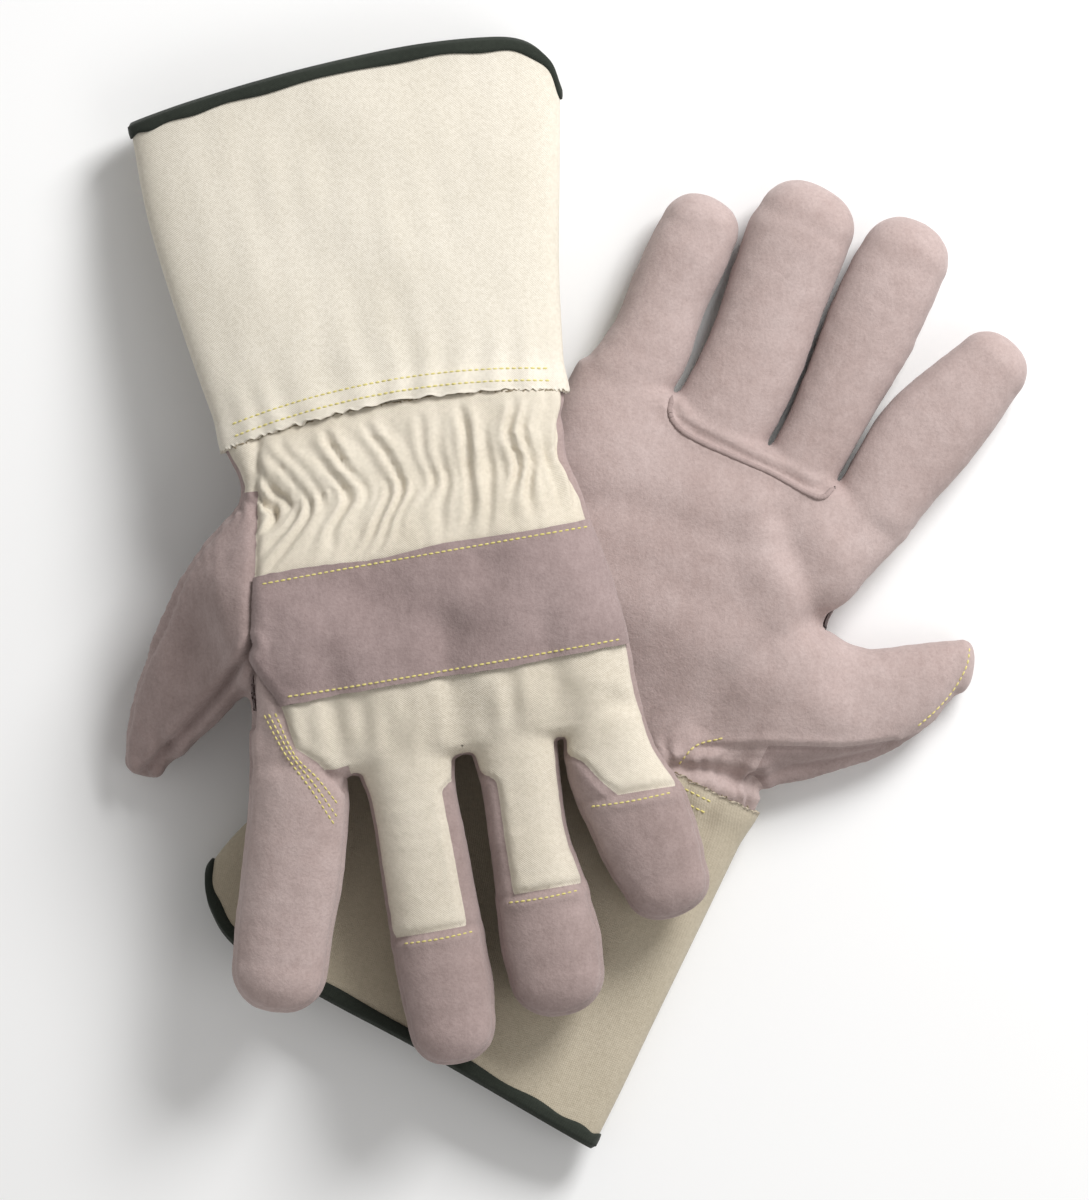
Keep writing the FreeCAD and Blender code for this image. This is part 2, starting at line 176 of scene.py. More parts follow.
class Waves:
    """A smooth random field of unit strength, from plane waves of about one wavelength."""

    def __init__(self, seed, length, dims=2, count=22, stretch=None):
        rng = np.random.default_rng(seed)
        way = rng.normal(size=(count, dims))
        way /= np.linalg.norm(way, axis=1)[:, None]
        size = rng.uniform(0.6, 1.5, count)[:, None]
        self.k = way * size * 2 * math.pi / length
        if stretch is not None:
            self.k = self.k / np.array(stretch)
        self.phase = rng.uniform(0, 2 * math.pi, count)

    def __call__(self, *at):
        at = np.stack(at, -1)
        return np.cos(at @ self.k.T + self.phase).sum(-1) / math.sqrt(len(self.phase) / 2)


def to_line(x, y, points):
    """Signed distance in plan to a run of points: positive to its left."""
    points = np.array(points, float)
    best = np.full(np.shape(x), 1e9)
    sign = np.ones(np.shape(x))
    for (ax, ay), (bx, by) in zip(points[:-1], points[1:]):
        dx, dy = bx - ax, by - ay
        t = np.clip(((x - ax) * dx + (y - ay) * dy) / (dx * dx + dy * dy), 0, 1)
        gap = np.hypot(x - ax - t * dx, y - ay - t * dy)
        nearer = gap < best
        best = np.where(nearer, gap, best)
        sign = np.where(nearer, np.sign(dx * (y - ay) - dy * (x - ax) + 1e-9), sign)
    return best * sign


def to_world(side, points):
    """Glove millimetres to the pair's frame in metres."""
    points = np.atleast_2d(np.array(points, float))
    x, y, turn = PLACE[side]
    c, s = math.cos(math.radians(turn)), math.sin(math.radians(turn))
    px, py = points[:, 0], points[:, 1]
    return np.stack([px * c - py * s + x, px * s + py * c + y, points[:, 2]], -1) / 1000.0


def spin(side, vectors):
    turn = math.radians(PLACE[side][2])
    c, s = math.cos(turn), math.sin(turn)
    x, y = vectors[:, 0], vectors[:, 1]
    return np.stack([x * c - y * s, x * s + y * c, vectors[:, 2]], -1)


# ---------------------------------------------------------------- the hand's surface
class Digit:
    """A finger's or thumb's tube, and where points lie along and across it in plan."""

    def __init__(self, side, name):
        rows = DIGITS[side][name]
        self.tip = TIP_LENGTH[side][name]
        if name == "thumb":
            angle = np.radians(THUMB_FACING[side])
            ways = np.stack([np.cos(angle), np.sin(angle)], -1)
        else:
            centre = np.array(rows)[:, :2]
            ways = np.vstack([[0, 1], centre[2:] - centre[:-2], centre[-1] - centre[-2]])
            ways /= np.linalg.norm(ways, axis=1)[:, None]
        table = dense(np.hstack([rows, ways]))
        self.rows = table[:, :5]
        self.ways = table[:, 5:] / np.linalg.norm(table[:, 5:], axis=1)[:, None]
        steps = np.linalg.norm(np.diff(self.rows[:, :2], axis=0), axis=1)
        self.length = np.concatenate([[0], np.cumsum(steps)])

    def plan(self, x, y):
        """along, across, before the root, past the last row, and z, half width, half height."""
        shape = np.shape(x)
        p = np.stack([np.ravel(x), np.ravel(y)], -1)
        best = np.full(len(p), 1e9)
        pick = np.zeros(len(p), int)
        for k in range(len(self.rows)):
            off = np.abs((p - self.rows[k, :2]) @ self.ways[k])
            nearer = off < best
            best, pick = np.where(nearer, off, best), np.where(nearer, k, pick)
        rel = p - self.rows[pick, :2]
        way = self.ways[pick]
        along = (rel * way).sum(-1)
        across = rel[:, 0] * way[:, 1] - rel[:, 1] * way[:, 0]
        before = np.where(pick == 0, np.maximum(-along, 0), 0)
        past = np.where(pick == len(self.rows) - 1, np.maximum(along, 0), 0)
        z, w, h = self.rows[pick, 2], self.rows[pick, 3], self.rows[pick, 4]
        out = (self.length[pick] + along, across, before, past, z, w, h)
        return [v.reshape(shape) for v in out]


class Hand:
    """The palm's and fingers' shape as a field in space, below zero inside."""

    def __init__(self, side):
        self.side = side
        self.palm = dense(HAND[side])
        self.digits = {name: Digit(side, name) for name in FINGERS + ("thumb",)}

    def palm_plan(self, x, y):
        rows = self.palm
        centre, z, w, h = [np.interp(y, rows[:, 1], rows[:, k]) for k in (0, 2, 3, 4)]
        past = np.maximum(y - rows[-1, 1] + 2.0, 0)
        return x - centre, past, z, w, h

    def middle(self, x, y):
        """The height of the mid surface, and the half height there."""
        across, past, z, w, h = self.palm_plan(x, y)
        share = np.exp(-np.maximum(np.hypot(across / w, past / 5) - 1, -0.3) * 9)
        total, zs, hs = share.copy(), share * z, share * h
        for digit in self.digits.values():
            _, across, before, past, z, w, h = digit.plan(x, y)
            r = np.sqrt((across / w) ** 2 + (past / digit.tip) ** 2) + before / 5
            share = np.exp(-np.maximum(r - 1, -0.3) * 9)
            total, zs, hs = total + share, zs + share * z, hs + share * h
        return zs / total, hs / total

    def field(self, x, y, z):
        """x and y are level grids; z is the run of heights."""
        across, past, mid, w, h = self.palm_plan(x, y)
        wide = np.maximum(np.abs(across) - 0.5 * w, 0) / (0.5 * w)
        level = wide**2.3 + (past / 6.5) ** 2.3
        up = np.abs(z[None, None, :] - mid[..., None]) / h[..., None]
        palm = ((level[..., None] + up**2.3) ** (1 / 2.3) - 1) * h[..., None]
        total = palm.copy()
        first = second = np.full(palm.shape, 50.0)
        for name, digit in self.digits.items():
            along, across, before, past, mid, w, h = digit.plan(x, y)
            back = (before + np.clip(3 - along, 0, 3)) / 8
            if name == "thumb":
                back = np.maximum(before - 1, 0) / 5
            level = np.abs(across / w) ** 2.3 + (past / digit.tip) ** 2.3 + back**2.3
            up = np.abs(z[None, None, :] - mid[..., None]) / h[..., None]
            one = ((level[..., None] + up**2.3) ** (1 / 2.3) - 1) * h[..., None]
            k = 2.2
            if name == "thumb":
                away = np.hypot(x - CROTCH[self.side][0], y - CROTCH[self.side][1])
                k = (7.0 - 4.0 * np.exp(-((away / 13) ** 2)))[..., None]
            mix = np.clip(0.5 + 0.5 * (palm - one) / k, 0, 1)
            joined = palm + (one - palm) * mix - k * mix * (1 - mix)
            total = np.minimum(total, joined)
            second = np.minimum(second, np.maximum(first, one))
            first = np.minimum(first, one)
        slit = 1.5 - (second - first)
        beyond = smooth((y - ROOT_LINE[self.side] - 0.5) / 3.5)[..., None]
        slit = np.where((x < 66)[..., None], slit - 6 * (1 - beyond), -1)
        return np.maximum(total, slit)

    def surface(self):
        """Vertices and quads of the zero surface."""
        side = self.side
        low = np.array([-84.0, -18.0, 0.0])
        high = np.array([115.0, 224.0 if side == "left" else 210.0, 70.0 if side == "left" else 38.0])
        counts = np.ceil((high - low) / STEP).astype(int)
        axes = [low[i] - STEP + STEP * np.arange(counts[i] + 2) for i in range(3)]
        x, y = np.meshgrid(axes[0], axes[1], indexing="ij")
        field = self.field(x, y, axes[2])
        verts, quads = net(field)
        verts = verts * STEP + low - STEP
        return relax(verts, quads, 6), quads


def net(field):
    """A surface net: one vertex in each cell that the zero surface crosses."""
    shape = np.array(field.shape)
    total = np.zeros(tuple(shape - 1) + (3,))
    count = np.zeros(tuple(shape - 1))
    loops = []
    for axis in range(3):
        o1, o2 = (axis + 1) % 3, (axis + 2) % 3
        lower = [slice(None)] * 3
        upper = [slice(None)] * 3
        lower[axis], upper[axis] = slice(None, -1), slice(1, None)
        a, b = field[tuple(lower)], field[tuple(upper)]
        at = np.argwhere((a < 0) != (b < 0))
        inner = np.all(at[:, [o1, o2]] >= 1, axis=1) & np.all(
            at[:, [o1, o2]] < shape[[o1, o2]] - 1, axis=1
        )
        at = at[inner]
        fa, fb = a[tuple(at.T)], b[tuple(at.T)]
        spot = at.astype(float)
        spot[:, axis] += fa / (fa - fb)
        ring = []
        for d1, d2 in ((1, 1), (0, 1), (0, 0), (1, 0)):
            cell = at.copy()
            cell[:, o1] -= d1
            cell[:, o2] -= d2
            np.add.at(total, tuple(cell.T), spot)
            np.add.at(count, tuple(cell.T), 1)
            ring.append(np.ravel_multi_index(tuple(cell.T), tuple(shape - 1)))
        ring = np.stack(ring, -1)
        ring[fa >= 0] = ring[fa >= 0][:, ::-1]
        loops.append(ring)
    quads = np.vstack(loops)
    used, quads = np.unique(quads, return_inverse=True)
    total = total.reshape(-1, 3)[used] / count.reshape(-1)[used][:, None]
    return total, quads.reshape(-1, 4)


def relax(verts, faces, rounds):
    """Smooths a mesh without shrinking it."""
    ends = np.vstack([faces[:, [i, (i + 1) % faces.shape[1]]] for i in range(faces.shape[1])])
    ends = np.unique(np.sort(ends, axis=1), axis=0)
    n = len(verts)
    degree = np.bincount(ends.ravel(), minlength=n)[:, None]
    for _ in range(rounds):
        for amount in (0.5, -0.52):
            mean = np.stack([
                np.bincount(ends[:, 0], verts[ends[:, 1], k], n)
                + np.bincount(ends[:, 1], verts[ends[:, 0], k], n) for k in range(3)
            ], -1) / np.maximum(degree, 1)
            verts = verts + amount * (mean - verts)
    return verts


def normals_of(verts, tris):
    a, b, c = verts[tris[:, 0]], verts[tris[:, 1]], verts[tris[:, 2]]
    face = np.cross(b - a, c - a)
    total = np.stack([
        sum(np.bincount(tris[:, i], face[:, k], len(verts)) for i in range(3)) for k in range(3)
    ], -1)
    return total / np.maximum(np.linalg.norm(total, axis=1), 1e-9)[:, None]


def clip(cols, tris, f):
    """The part of a mesh where f is at most zero. cols holds all that is carried along."""
    inside = f <= 0
    held = inside[tris].sum(1)
    a, b = tris.ravel(), np.roll(tris, -1, axis=1).ravel()
    cross = inside[a] != inside[b]
    low, high = np.minimum(a, b)[cross], np.maximum(a, b)[cross]
    keys = np.unique(low.astype(np.int64) * len(cols) + high)
    low, high = keys // len(cols), keys % len(cols)
    t = np.clip(f[low] / (f[low] - f[high]), 0.01, 0.99)[:, None]
    added = cols[low] + (cols[high] - cols[low]) * t

    def between(p, q):
        key = np.minimum(p, q).astype(np.int64) * len(cols) + np.maximum(p, q)
        return len(cols) + np.searchsorted(keys, key)

    found = [tris[held == 3]]
    for many in (1, 2):
        some = tris[held == many]
        odd = np.argmax(inside[some] if many == 1 else ~inside[some], axis=1)
        row = np.arange(len(some))
        o, p, q = (some[row, (odd + k) % 3] for k in range(3))
        op, oq = between(o, p), between(o, q)
        if many == 1:
            found.append(np.stack([o, op, oq], -1))
        else:
            found.append(np.stack([p, q, oq], -1))
            found.append(np.stack([p, oq, op], -1))
    return compact(np.vstack([cols, added]), np.vstack(found))


def compact(cols, tris):
    used, again = np.unique(tris, return_inverse=True)
    return cols[used], again.reshape(-1, 3)


def largest(cols, tris, share=0.06):
    """Drops stray islands."""
    label = np.arange(len(cols))
    while True:
        least = label[tris].min(1)
        new = label.copy()
        for i in range(3):
            np.minimum.at(new, tris[:, i], least)
        new = new[new]
        if (new == label).all():
            break
        label = new
    sizes = np.bincount(label, minlength=len(cols))
    keep = sizes[label] >= share * len(cols)
    return compact(cols, tris[keep[tris].all(1)])


# ---------------------------------------------------------------- making Blender objects
MATERIALS = {}
SPANS = {}


def make_object(name, verts, faces, normals=None, uvs=None):
    mesh = bpy.data.meshes.new(name)
    mesh.from_pydata([tuple(v) for v in verts], [], [tuple(int(i) for i in f) for f in faces])
    mesh.update()
    mesh.polygons.foreach_set("use_smooth", [True] * len(mesh.polygons))
    if uvs is not None:
        layer = mesh.uv_layers.new(name="UVMap")
        corner = np.zeros(len(mesh.loops), int)
        mesh.loops.foreach_get("vertex_index", corner)
        layer.data.foreach_set("uv", (np.array(uvs)[corner] * 0.01).ravel().astype(np.float32))
    if normals is not None:
        mesh.normals_split_custom_set_from_vertices([tuple(n) for n in normals])
    made = bpy.data.objects.new(name, mesh)
    bpy.context.scene.collection.objects.link(made)
    return made


def attach(made, side, part, material, nodes=()):
    """Hangs a piece on its body, or, for a digit's or the left cuff's piece, bakes its place into its mesh;
    hides the CAD parts it replaces.
    """
    made.data.materials.append(MATERIALS[material])
    if part == "hand" or (side, part) not in SPANS:
        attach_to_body(made, f"{side}_hand")
    else:
        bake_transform(made)
    if nodes:
        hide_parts(*nodes)
    return made


def thick_patch(name, side, cols, tris, offset, wall):
    """A panel: its outer face, its inner face one wall further in, and its cut edges."""
    place, normal, uv = cols[:, :3], cols[:, 3:6], cols[:, 6:8]
    normal = normal / np.maximum(np.linalg.norm(normal, axis=1), 1e-9)[:, None]
    n = len(place)
    outer = place + normal * offset
    inner = place + normal * (offset - wall)
    a, b = tris.ravel(), np.roll(tris, -1, axis=1).ravel()
    key, back = a.astype(np.int64) * n + b, b.astype(np.int64) * n + a
    rim = ~np.isin(key, back)
    a, b = a[rim], b[rim]
    sides = np.vstack([np.stack([b, a, a + n], -1), np.stack([b, a + n, b + n], -1)])
    faces = np.vstack([tris, tris[:, ::-1] + n, sides])
    verts = to_world(side, np.vstack([outer, inner]))
    turned = spin(side, normal)
    return make_object(name, verts, faces, np.vstack([turned, -turned]), np.vstack([uv, uv]))


# ---------------------------------------------------------------- one glove's hand
def build_hand(side):
    """Cuts the hand's surface into its panels. Returns what the stitches are laid on."""
    hand = Hand(side)
    verts, quads = hand.surface()
    tris = np.vstack([quads[:, [0, 1, 2]], quads[:, [0, 2, 3]]])
    x, y, z = verts.T
    mid, half = hand.middle(x, y)
    backward = (z - mid) / half * BACK_UP[side]       # 1 on the back, -1 on the palm
    seam = (SEAM - backward) * half                   # below zero on the back side
    plans = {name: digit.plan(x, y) for name, digit in hand.digits.items()}
    rank = {}
    for name, (_, across, before, past, _, w, _) in plans.items():
        rank[name] = np.sqrt((across / w) ** 2 + (past / 14) ** 2) + before / 30
    line = ROOT_LINE[side]
    nearest = {}
    for name in FINGERS:
        others = np.minimum.reduce([rank[o] for o in FINGERS if o != name])
        nearest[name] = (rank[name] - others) * 8
    root = hand.digits["thumb"]
    ahead = (x - root.rows[0, 0]) * root.ways[0, 0] + (y - root.rows[0, 1]) * root.ways[0, 1]
    wrist_end = 16.0 if side == "left" else 9.5
    web = (63.4, 86.0) if side == "left" else (60.0, 72.0)
    crotch = (y - np.maximum(web[1] + 0.75 * (x - web[0]), web[1])) * 0.8
    thumb = np.maximum.reduce([-ahead, wrist_end - y, crotch])
    index_seam = to_line(x, y, INDEX_SEAM[side])      # below zero on the thumb's side of it
    fields = {"back": seam, "thumb": thumb}
    fields["index_back"] = np.maximum.reduce([seam, index_seam, INDEX_START[side] - y, -thumb])
    for name in FINGERS:
        fields[name] = np.maximum(nearest[name], line - y)
    for name in ("middle", "ring", "little"):
        across, w = plans[name][1], plans[name][5]
        low = {"middle": -0.72, "ring": -2.0, "little": -2.0}[name]
        high = {"middle": 2.0, "ring": 0.62, "little": 2.0}[name]
        fan = smooth((line + 14 - y) / 14) * 1.6
        top, low = high + fan, low - fan
        if name == "little":
            top = 1.05 + fan * 0.5 - 0.95 * np.clip((y - line + 3) / 31, 0, 1.0)
        sides = np.maximum(across - top * w, low * w - across)
        start = TIP_START[side][name]
        fields[name + "_strip"] = np.maximum.reduce([seam, sides, y - start])
        fields[name + "_cap"] = np.maximum(seam, start - y)
    off_wing = to_line(x, y, THUMB_SEAM[side])
    wing = np.maximum(off_wing, thumb)                # the thumb's outer panel

    # Relief: everything that moves the surface in or out.
    push = np.zeros(len(x))
    on_back = smooth((backward + 0.15) / 0.5)
    on_palm = 1 - on_back
    in_palm = smooth((line + 4 - y) / 20)
    push += (0.1 + 0.1 * in_palm) * Waves(11, 38, 3)(x, y, z)
    crumple = 1 - np.abs(Waves(12, 40, 3)(x, y, z))
    push += (0.04 + 0.2 * in_palm * on_back) * np.clip(crumple, -0.6, 1)
    for k, (name, (along, across, _, _, _, w, _)) in enumerate(plans.items()):
        ripple = Waves(30 + k, 8.5, 2, stretch=(1, 3.2))(along, across)
        near = fields[name] if name != "thumb" else thumb
        push += 0.04 * ripple * smooth(-near / 6)
    push += 0.03 * Waves(13, 7, 3)(x, y, z)
    across, _, _, wide, _ = hand.palm_plan(x, y)
    fan = across / wide * 54
    drift = 0.9 * Waves(14, 60, 2)(fan, y) + 0.5 * Waves(15, 24, 2)(fan, y)
    crest = 1.7 * np.abs(np.sin(math.pi * fan / 6.6 + drift)) ** 0.8 - 1.05
    crest += 0.4 * np.cos(2 * math.pi * fan / 4.6 + 1.7 * drift)
    strength = np.clip(1 + 0.4 * Waves(16, 26, 2)(fan, y * 0.4), 0.5, 1.3)
    pinch = 1.2 * np.exp(-(((y - 21) / 10) ** 2)) + 1.0 * np.exp(-(((y - 7) / 8) ** 2))
    pinch += 0.65 * np.exp(-(((y - 34) / 9) ** 2))
    by_thumb = smooth((3 - ahead) / 7)
    push += on_back * by_thumb * pinch * crest * strength * smooth((y + 4) / 7)
    push -= on_back * by_thumb * 1.5 * np.exp(-(((y - 21) / 5) ** 2))
    push += on_back * 0.45 * np.cos(2 * math.pi * fan / 4.1) * np.exp(-(((y - 22) / 4) ** 2))
    push += on_palm * smooth((y + 6) / 6) * smooth((20 - y) / 15) * crest * 0.6
    for dx, dy, radius, depth in DENTS:
        push -= on_back * depth * np.exp(-((x - dx) ** 2 + (y - dy) ** 2) / radius**2)
    for dx in ROOT_HOLLOWS[side]:
        along = smooth((y - 52) / 34) * smooth((line + 3 - y) / 6)
        push -= on_back * 2.1 * np.exp(-(((x - dx) / 6.5) ** 2)) * along
    if side == "right":
        step = 1.9 * smooth(-off_wing / 1.5) + 2.6 * smooth(-(off_wing + 1.5) / 9) * smooth((x - 50) / 14)
        push -= smooth(-backward / 0.5) * step * smooth((x - 34) / 12) * smooth((64 - y) / 18)
    below_strap = on_back * smooth((y - 88) / 3) * smooth((line + 6 - y) / 18)
    push += below_strap * 0.3 * Waves(17, 9, 2, stretch=(1, 2.6))(x, y)
    for where, points, depth, width in LINES[side]:
        mask = on_palm if where == "palm" else on_back
        gap = to_line(x, y, points) / width
        push -= mask * depth * np.exp(-gap**2)
        push += mask * depth * 0.35 * np.exp(-((np.abs(gap) - 2.4) / 1.1) ** 2)

    def groove(f, mask, depth=0.9):
        lips = 0.3 * np.exp(-(((np.abs(f) - 3.4) / 1.6) ** 2))
        return mask * (lips - depth * np.exp(-((f / 1.15) ** 2)))

    in_hand = smooth((line + 2 - y) / 4)
    push += groove(seam * 1.3, in_hand * smooth((ahead * -1 + 1) / 3), 0.7)
    push += groove(ahead * 0.8, on_back * (y < 95), 1.7)
    push += groove(index_seam, on_back * smooth((y - INDEX_START[side] - 4) / 3) * smooth((124 - y) / 4), 1.2)
    for name in FINGERS:
        here = smooth(-fields[name] / 1.5)
        if name == "index":
            push += groove(seam, here, 0.6)
        else:
            push += groove(fields[name + "_strip"], here, 0.8)
            push += groove(fields[name + "_cap"], here * smooth((y - TIP_START[side][name] + 2) / 3), 0.8)
    push += groove(seam, smooth(ahead / 3) * (y < 110), 0.5)
    normal = normals_of(verts, tris)
    verts = verts + normal * push[:, None]
    strap_room = 1.6 * smooth((y - 40) / 4) * smooth((94 - y) / 4)
    verts[:, 2] = np.maximum(verts[:, 2], 0.5 if side == "left" else 0.95 + strap_room)
    verts = relax(verts, quads, 1)
    normal = normals_of(verts, tris)
    names = list(fields) + ["wing", "y"]
    cols = np.hstack([verts, normal, np.stack([x, y], -1)] + [fields[f][:, None] for f in fields]
                     + [wing[:, None], y[:, None]])
    col = {name: 8 + i for i, name in enumerate(names)}
    cols, tris = clip(cols, tris, -(cols[:, col["y"]] + 14))
    skins = []

    def panel(name, part, keep, material, offset=0.0, wall=1.4, nodes=(), skin=True):
        c, t = cols, tris
        for label, sign in keep:
            f = sign(c) if callable(sign) else sign * c[:, col[label]]
            c, t = clip(c, t, f)
        c, t = largest(c, t)
        made = thick_patch(f"{side}_{name}", side, c, t, offset, wall)
        attach(made, side, part, material, [f"{side}_{n}" for n in nodes])
        if skin:
            n = c[:, 3:6] / np.linalg.norm(c[:, 3:6], axis=1)[:, None]
            skins.append((c[:, :3] + n * offset, t))
        return made

    def beyond(c):
        return c[:, col["y"]] - line

    def off_thumb(c):
        return -c[:, col["thumb"]]

    body = [("", beyond)]
    # The left glove's leather takes the darker suede: partly a darker leather, partly painted shade.
    suede = "suede" if side == "right" else "suede_dark_and_painted_shade"

    def lower(c):
        return -c[:, col["back"]]

    def index_or_hand(c):
        return np.minimum(c[:, col["index"]], beyond(c))

    panel("palm_leather", "thumb", body + [("", lower), ("wing", -1.0)], suede,
          nodes=["palm_leather"])
    # The thumb's outer panel takes the darker suede: painted shade on a panel that slopes away from the
    # light.
    panel("thumb_front", "thumb", body + [("", lower), ("wing", 1.0)], "suede_dark_and_painted_shade",
          nodes=["thumb_front"])
    panel("thumb_back", "thumb", body + [("back", 1.0), ("thumb", 1.0)], suede,
          nodes=["thumb_back"])
    panel("back_canvas", "hand", body + [("back", 1.0), ("", off_thumb), ("index_back", -1.0)], "canvas",
          wall=1.2, nodes=["back_canvas"])
    panel("index_back", "index", [("index_back", 1.0), ("", index_or_hand)], "suede",
          nodes=["index_back"])
    for name in FINGERS:
        keep = [(name, 1.0)]
        if name == "index":
            panel("index_front", name, keep + [("index_back", -1.0)], "suede",
                  nodes=["index_front"])
            continue
        panel(f"{name}_front", name, keep + [(name + "_strip", -1.0), (name + "_cap", -1.0)], suede,
              nodes=[f"{name}_front"])
        panel(f"{name}_back", name, keep + [(name + "_strip", 1.0)], "canvas",
              wall=1.2, nodes=[f"{name}_back"])
        panel(f"{name}_tip", name, keep + [(name + "_cap", 1.0)], suede,
              nodes=[f"{name}_tip"])
    strap_low, strap_high = (45.2, 88.5) if side == "left" else (45.0, 88.0)
    panel("knuckle_strap", "hand",
          [("back", 1.0), ("", off_thumb), ("index_back", -1.0),
           ("", lambda c: strap_low - c[:, col["y"]] + 0.5 * np.sin(c[:, 0] / 9)),
           ("", lambda c: c[:, col["y"]] - strap_high + 0.4 * np.sin(c[:, 0] / 13))],
          "suede_strap", offset=1.6, wall=1.5, nodes=["knuckle_strap"])
    panel("palm_lining", "hand",
          [("", lower), ("", off_thumb), ("", lambda c: 4 - c[:, col["y"]]),
           ("", lambda c: c[:, col["y"]] - 98)],
          "lining", offset=-1.9, wall=0.8, nodes=["palm_lining"], skin=False)
    panel("wrist_elastic", "hand",
          [("back", 1.0), ("", off_thumb), ("", lambda c: 18 - c[:, col["y"]]),
           ("", lambda c: c[:, col["y"]] - 26)],
          "elastic", offset=-1.7, wall=0.9, nodes=["wrist_elastic"], skin=False)
    return skins


# ---------------------------------------------------------------- cuffs
def mouth_line(side, u):
    """Where the mouth's edge is along y, for a place across the cuff."""
    if side == "left":
        points = [(-78, -97), (-76, -103), (-72.5, -111.5), (-64, -118.6), (-50, -121.6), (-23, -123),
                  (12, -121.4), (47, -117.8), (76, -113.4)]
    else:
        points = [(-98, -101), (-95.5, -108), (-88, -116.5), (-73, -123.2), (-40, -124), (0, -123.6),
                  (66, -125.4), (80, -125.8)]
    points = dense(points, 12)
    return np.interp(u, points[:, 0], points[:, 1])


def cuff_sheet(side, around, along, inset):
    """Points of a cuff's outer face, inset by a distance. Both arguments are grids from 0 to 1."""
    rows = dense(CUFF[side])[::-1]
    angle = 2 * math.pi * around
    ca, sa = np.cos(angle), np.sin(angle)
    power = 2 / 2.7
    cx, cz = np.sign(ca) * np.abs(ca) ** power, np.sign(sa) * np.abs(sa) ** power

    def at(y, k):
        return np.interp(y, rows[:, 1], rows[:, k])

    edge = mouth_line(side, at(-115.0, 0) + cx * at(-115.0, 3))
    start = 1.0 - (6.5 if side == "left" else 2.0) * (1 - cx**2)
    y = start + (edge - start) * along
    frayed = Waves(55, 5, 2)(np.cos(angle) * 60, np.sin(angle) * 60)
    y = y + 0.35 * frayed * smooth(1 - along * 40)
    inset = inset - 1.5 * smooth(1 - along * 9)
    w, h = at(y, 3) - inset, at(y, 4) - inset
    x, z = at(y, 0) + cx * w, cz * h
    flare = Waves(51 if side == "left" else 52, 52, 2)
    sway = 0.5 * flare(x, y) * smooth(1 - np.abs(cx)) + 0.1 * Waves(53, 21, 2, stretch=(0.7, 2.4))(x, y)
    z = z + at(y, 2) + sway * (1 if side == "left" else 0.8) * np.abs(sa)
    ripple = 0.5 * np.cos(2 * math.pi * x / 13.0 + 1.3 * Waves(54, 60, 2)(x, y)) * smooth(1 - along * 4.0)
    z = z + ripple * np.sign(sa) * np.abs(sa) ** 0.5
    hem = 0.45 * smooth(1 - np.abs(y - start + 5.0) / 5.5)
    z = z + hem * np.sign(sa) * np.abs(sa)
    return np.stack([x, y, np.maximum(z, 1.6 + inset * 0.6)], -1)


def grid_faces(n, m, closed):
    """Quads of a grid whose first index may close on itself."""
    i, j = np.meshgrid(np.arange(n if closed else n - 1), np.arange(m - 1), indexing="ij")
    i, j = i.ravel(), j.ravel()
    k = (i + 1) % n
    return np.stack([i * m + j, k * m + j, k * m + j + 1, i * m + j + 1], -1)


def build_cuff(side):
    around, along = np.meshgrid(np.arange(360) / 360, np.linspace(0, 1, 100), indexing="ij")
    wall = 1.6
    outer = cuff_sheet(side, around, along, 0.0)
    inner = cuff_sheet(side, around, along, wall)
    n, m = around.shape
    faces = grid_faces(n, m, True)
    ends = []
    for j in (0, m - 1):
        i = np.arange(n)
        k = (i + 1) % n
        ring = np.stack([i * m + j, k * m + j, n * m + k * m + j, n * m + i * m + j], -1)
        ends.append(ring[:, ::-1] if j == 0 else ring)
    verts = np.vstack([outer.reshape(-1, 3), inner.reshape(-1, 3)])
    whole = np.vstack([faces[:, ::-1], faces + n * m] + ends)
    girth = np.linalg.norm(np.diff(outer[:, 50], axis=0, append=outer[:1, 50]), axis=1)
    run = np.concatenate([[0], np.cumsum(girth)[:-1]])
    uv = np.stack([np.repeat(run[:, None], m, 1), outer[..., 1]], -1).reshape(-1, 2)
    made = make_object(f"{side}_cuff", to_world(side, verts), whole, None, np.vstack([uv, uv]))
    # The right cuff takes a darker, yellower copy of the cuff canvas: painted shade, as both cuffs are the
    # same canvas.
    material = "cuff_canvas" if side == "left" else "cuff_canvas_painted_shade"
    attach(made, side, "cuff", material, [f"{side}_cuff"])
    skins = [(outer.reshape(-1, 3), np.vstack([faces[:, [2, 1, 0]], faces[:, [3, 2, 0]]]))]

    # The binding: a tape folded over the mouth's edge.
    profile = [(0.0, -0.1), (0.0, 0.75), (0.35, 0.95), (0.7, 0.95), (0.94, 0.9), (1.0, 0.5),
               (1.012, -0.3), (1.012, -1.3), (1.0, -2.1), (0.94, -2.5), (0.7, -2.55), (0.35, -2.55),
               (0.0, -2.35), (0.0, -1.5)]
    back_off = 4.1 / 122
    rings = []
    for share, out in profile:
        depth = 1 - back_off * (1 - share) if share <= 1 else 1 + (share - 1) * 0.75
        wobble = 1 + 0.1 * np.sin(around[:, 0] * 97) * (share == 0)
        rings.append(cuff_sheet(side, around[:, 0], 1 - (1 - depth) * wobble, -out))
    tape = np.stack(rings, 1)
    count = len(profile)
    loop = grid_faces(n, count, True)
    last = np.stack([np.arange(n) * count + count - 1, (np.arange(n) + 1) % n * count + count - 1,
                     (np.arange(n) + 1) % n * count, np.arange(n) * count], -1)
    faces = np.vstack([loop, last])[:, ::-1]
    gap = np.linalg.norm(np.diff(tape[0], axis=0, prepend=tape[:1, 0]), axis=1).cumsum()
    uv = np.stack([np.repeat(run[:, None], count, 1), np.repeat(gap[None], n, 0)], -1).reshape(-1, 2)
    made = make_object(f"{side}_cuff_binding", to_world(side, tape.reshape(-1, 3)), faces, None, uv)
    attach(made, side, "cuff", "binding", [f"{side}_cuff_binding"])
    return skins


